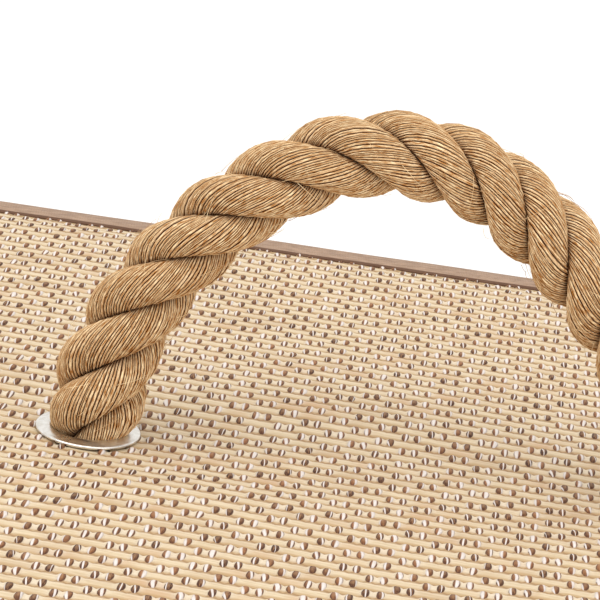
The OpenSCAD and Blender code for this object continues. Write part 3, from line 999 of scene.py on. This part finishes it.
def edge_tape():
    """Tape folded over the lid's top edge. Inward is measured from its outer face."""
    low, high = TAPE_LOW[2], TAPE_HIGH[2]
    wide, under = high - low, high - TAPE_THICK
    profile = ribbed((SUNK, low + 0.5), (SUNK, high - FOLD), 25, (-1, 0))
    profile += bend((FOLD + SUNK, high - FOLD - SUNK), FOLD, 172, 98)
    profile += ribbed((FOLD, high - SUNK), (wide - 0.4, high - 0.12), 25, (0, 1))
    profile += [(wide - 0.15, high - 0.28), (wide, under + 0.1), (wide - 0.3, under - 0.25)]
    # Its last points, where it turns under onto the cloth, take a painted shadow line
    inner_edge = range(len(profile) - 4, len(profile))
    profile += [(TAPE_THICK + 0.8, under - 0.1), (TAPE_THICK, under - 0.8)]
    profile += [(TAPE_THICK, low + 0.2), (0.45, low)]
    piece = swept_band("edge_tape", TAPE_HIGH[0], TAPE_HIGH[1], TAPE_CORNER, profile, TAPE, 31, 0.05,
                       hidden=inner_edge)
    belongs(piece, "lid", "lid_edge_tape")


def hem_tape():
    """Tape folded round the lower edge of the lid's skirt."""
    low, high = box_mm("lid_hem_tape")
    bottom, top, inner = low[2], high[2], WALL_THICK + 2 * TAPE_THICK
    near = inner - TAPE_THICK
    profile = ribbed((SUNK, bottom + FOLD), (SUNK, top - 0.2), 30, (-1, 0))
    profile += [(0.4, top), (TAPE_THICK, top - 0.3), (TAPE_THICK, bottom + TAPE_THICK)]
    profile += [(near, bottom + TAPE_THICK), (near, top - 0.3), (inner - 0.4, top)]
    profile += ribbed((inner - SUNK, top - 0.2), (inner - SUNK, bottom + FOLD), 30, (1, 0))
    profile += bend((inner - FOLD - SUNK, bottom + FOLD), FOLD, -8, -82)
    profile += bend((FOLD + SUNK, bottom + FOLD), FOLD, -98, -172)
    tape_piece("hem_tape", "lid_hem_tape", "lid", low, high, profile, 33)


def rim_tape():
    """Tape folded over the mouth's rim."""
    low, high = box_mm("rim_tape")
    bottom, top, inner = low[2], high[2], WALL_THICK + 2 * TAPE_THICK
    near = inner - TAPE_THICK
    profile = ribbed((SUNK, bottom + 0.2), (SUNK, top - FOLD), 30, (-1, 0))
    profile += bend((FOLD + SUNK, top - FOLD), FOLD, 172, 98)
    profile += bend((inner - FOLD - SUNK, top - FOLD), FOLD, 82, 8)
    profile += ribbed((inner - SUNK, top - FOLD), (inner - SUNK, bottom + 0.2), 30, (1, 0))
    profile += [(inner - 0.4, bottom), (near, bottom + 0.3), (near, top - TAPE_THICK)]
    profile += [(TAPE_THICK, top - TAPE_THICK), (TAPE_THICK, bottom + 0.3), (0.4, bottom)]
    tape_piece("mouth_tape", "rim_tape", "bin", low, high, profile, 35)


def tape_piece(name, node, body, low, high, profile, seed):
    """A tape folded round an edge, and the two rows of stitches through it."""
    piece = swept_band(name, high[0], high[1], TAPE_CORNER, profile, TAPE, seed, 0.12)
    belongs(piece, body, node)
    for row, z in (("outer", low[2] + 2.0), ("inner", high[2] - 2.2)):
        points, run = rounded_loop(high[0], high[1], TAPE_CORNER, int(high[0] * 2), int(high[1] * 2))
        loop = np.column_stack([points, np.full(len(run), z)])
        belongs(stitches(f"{name}_stitches_{row}", loop), body)


THREAD_R = 0.17


def stitches(name, loop, pitch=3.0, length=2.1, out=None):
    """Short sewn threads along a line, each sunk at both ends. They face out, or
    away from the middle of a level loop."""
    loop = np.concatenate([loop, loop[:1]]) if out is None else loop
    run = run_along(loop)
    starts = np.arange(0.4, run[-1] - length, pitch)
    share = np.linspace(0, 1, 5)
    sides = np.linspace(0, 2 * np.pi, 6, endpoint=False)
    points, faces, ribs = [], [], []
    for first in starts:
        line = points_at(first + share * length, run, loop)
        ahead = line[-1] - line[0]
        ahead /= np.linalg.norm(ahead)
        outward = np.cross(ahead, (0, 0, 1)) if out is None else np.array(out, float)
        across = np.cross(outward, ahead)
        sink = 0.22 * np.abs(2 * share - 1) ** 3
        line = line + outward * (0.05 - sink)[:, None]
        thick = THREAD_R * (1 - 0.35 * np.abs(2 * share - 1) ** 3)
        ring = (np.cos(sides)[None, :, None] * outward + np.sin(sides)[None, :, None] * across)
        faces += tube_faces(5, 6, 30 * len(points))
        points.append((line[:, None] + thick[:, None, None] * ring).reshape(-1, 3))
        ribs.append(np.tile([first, 0.0, 0.0], (30, 1)))
    return make_piece(name, np.concatenate(points), faces, THREAD, values={"ribs": np.concatenate(ribs)})


edge_tape()
hem_tape()
rim_tape()


# ---------------------------------------------------------------- linings

LINING_THICK = 0.5


def lining_band(name, node, body, seed, gap_top=0.0, ripple=0.5):
    """The lining round the inside of a body: one band, a little slack."""
    low, high = box_mm(node)
    heights = np.linspace(low[2], high[2] - gap_top, int((high[2] - low[2]) / 5))
    profile = [(0.02, z) for z in heights] + [(LINING_THICK, z) for z in heights[::-1]]
    piece = swept_band(name, high[0], high[1], 1.5, profile, LINING, seed, 0.0, ripple, 5.0)
    belongs(piece, body, node)


def flat_panel(name, low, high, material, seed, up=True, slack=0.1, gap=4.0, round_edge=0.15, holes=()):
    """A thin closed panel, its shown face a little uneven and its edges rounded."""
    nx, ny = int((high[0] - low[0]) / gap), int((high[1] - low[1]) / gap)
    x, y = np.meshgrid(np.linspace(low[0], high[0], nx + 1), np.linspace(low[1], high[1], ny + 1))
    mid_x, mid_y = (x[1:, 1:] + x[:-1, :-1]) / 2, (y[1:, 1:] + y[:-1, :-1]) / 2
    keep = np.ones(mid_x.shape, bool)
    for hole_x, hole_y, radius in holes:
        keep &= np.hypot(mid_x - hole_x, mid_y - hole_y) > radius + gap * 0.4
        dx, dy = x - hole_x, y - hole_y
        far = np.maximum(np.hypot(dx, dy), 0.01)
        push = np.where(far < radius, radius / far, 1.0)
        x, y = hole_x + dx * push, hole_y + dy * push
    inset = np.minimum(np.minimum(x - low[0], high[0] - x), np.minimum(y - low[1], high[1] - y))
    drop = round_edge * (1 - smooth(inset / 1.5))
    drop = drop + slack * (0.5 + 0.5 * np.clip(waves(x, y, seed, 70.0), -1, 1))
    shown, hidden = (high[2] - drop, low[2] + 0 * x) if up else (low[2] + drop, high[2] + 0 * x)
    used, faces = slab_faces(keep)
    points = [np.stack([x, y, z], -1).reshape(-1, 3) for z in ((shown, hidden) if up else (hidden, shown))]
    points = np.concatenate(points)
    ribs = points * [1, 1, 0]
    return make_piece(name, points[used], faces, material, values={"ribs": ribs[used]})


def linings():
    lining_band("wall_lining_cloth", "wall_lining", "bin", 71)
    lining_band("skirt_lining_cloth", "lid_skirt_lining", "lid", 73, 0.1, 0.2)
    low, high = box_mm("base_lining")
    piece = flat_panel("base_lining_cloth", low, high, LINING, 75)
    belongs(piece, "bin", "base_lining")
    low, high = box_mm("lid_top_lining")
    holes = [(-EYELET_X, 0, FLANGE_CUT), (EYELET_X, 0, FLANGE_CUT)]
    piece = flat_panel("lid_lining_cloth", low, high, LINING, 77, up=False, gap=2.5, holes=holes)
    belongs(piece, "lid", "lid_top_lining")


linings()


# ---------------------------------------------------------------- insert

INSERT_HEM = 13.0    # width of the insert's turned edge
COVER_THICK = 0.55


def insert_cover():
    """The loose floor: cloth over a board, its turned edge sewn down all round."""
    low, high = box_mm("insert_cover")
    bottom, top, hem, thick = low[2], high[2], INSERT_HEM, COVER_THICK
    profile = [(0.0, bottom + 0.02), (0.0, bottom + 1.2), (0.0, top - 1.2)]
    profile += bend((1.0, top - 1.05), 1.0, 175, 95)
    profile += [(1.6, top - 0.03), (4.0, top), (8.0, top), (hem - 0.4, top), (hem, top - 0.2)]
    profile += [(inward, top - thick) for inward in (hem, 4.0, 1.0)]
    profile += [(thick, top - 1.1), (thick, bottom + 0.02)]
    edge = swept_band("insert_edge", high[0], high[1], 2.0, profile, LINING, 81, 0.0)
    middle = flat_panel("insert_top", np.array([low[0] + hem - 1, low[1] + hem - 1, top - 0.55]),
                        np.array([high[0] - hem + 1, high[1] - hem + 1, top - 0.08]), LINING, 83, slack=0.05)
    for piece in (edge, middle):
        belongs(piece, "insert", "insert_cover")
    points, run = rounded_loop(high[0] - hem + 2, high[1] - hem + 2, 0.4, 170, 100)
    loop = np.column_stack([points, np.full(len(run), top)])
    sewn = stitches("insert_stitches", np.concatenate([loop, loop[:1]]), out=(0, 0, 1))
    belongs(sewn, "insert")


def pull_tab():
    """A folded strap lying on the insert, sewn down at its inner end."""
    low, high = box_mm("insert_pull_tab")
    middle = (low[2] + high[2]) / 2
    for name, bottom, top in (("lower", low[2] + 0.02, middle - 0.03), ("upper", middle + 0.03, high[2])):
        piece = flat_panel("pull_tab_" + name, np.array([low[0], low[1], bottom]),
                           np.array([high[0], high[1], top]), TAPE, 87, slack=0.08, gap=0.6, round_edge=0.3)
        belongs(piece, "insert", "insert_pull_tab")
    x, y0, y1, z = high[0] - 2.5, high[1] - 12.0, high[1] - 2.0, high[2]
    a, b, c, d = (-x, y0, z), (x, y0, z), (x, y1, z), (-x, y1, z)
    box_and_cross = np.array([a, b, c, d, a, c, d, b])
    sewn = stitches("pull_tab_stitches", box_and_cross, pitch=2.0, length=1.5, out=(0, 0, 1))
    belongs(sewn, "insert")


insert_cover()
pull_tab()


# ---------------------------------------------------------------- carried-over nodes

def paint(names, material):
    for name in names:
        for held in bpy.data.objects[name].material_slots:
            held.material = material


paint([edge + "_board" for edge in ("base", "front", "back", "left", "right", "insert", "lid",
                                    "lid_front", "lid_back", "lid_left", "lid_right")], BOARD)
paint(["washer_left", "washer_right"], METAL)


# ---------------------------------------------------------------- stage

FLOOR_HALF = 20000.0
SOFT_LIGHTS = (
    # name, place and width in metres, watts, colour
    ("key", (-0.7, -1.0, 2.3), 2.4, 32.0, (1.0, 0.98, 0.95)),
    ("fill", (1.2, -1.6, 0.9), 1.6, 10.0, (1.0, 0.98, 0.96)),
)


def stage():
    scene = bpy.context.scene
    scene.view_settings.view_transform = "Standard"
    world = bpy.data.worlds.new("studio")
    world.use_nodes = True
    light = world.node_tree.nodes["Background"]
    light.inputs["Color"].default_value = (1.0, 0.985, 0.965, 1)
    light.inputs["Strength"].default_value = 1.02
    scene.world = world
    n = Nodes("floor", roughness=0.9)
    speckle = place_noise(n, (1, 1, 1), 3.0, 2.0)
    floor_material = n.finish(n.mix(speckle, (0.93, 0.93, 0.93, 1), (0.95, 0.95, 0.95, 1)))
    corners = FLOOR_HALF * np.array([(-1, -1, 0), (1, -1, 0), (1, 1, 0), (-1, 1, 0)])
    floor = make_piece("floor", corners, [[[0, 1, 2, 3]]], floor_material)
    for name, place, size, energy, colour in SOFT_LIGHTS:
        data = bpy.data.lights.new(name, "AREA")
        data.shape, data.size = "SQUARE", size
        data.energy, data.color = energy, colour
        light = bpy.data.objects.new(name, data)
        aim = Vector((0, 0, LID_Z * MM)) - Vector(place)
        light.rotation_euler = aim.to_track_quat("-Z", "Y").to_euler()
        light.location = place
        scene.collection.objects.link(light)


stage()
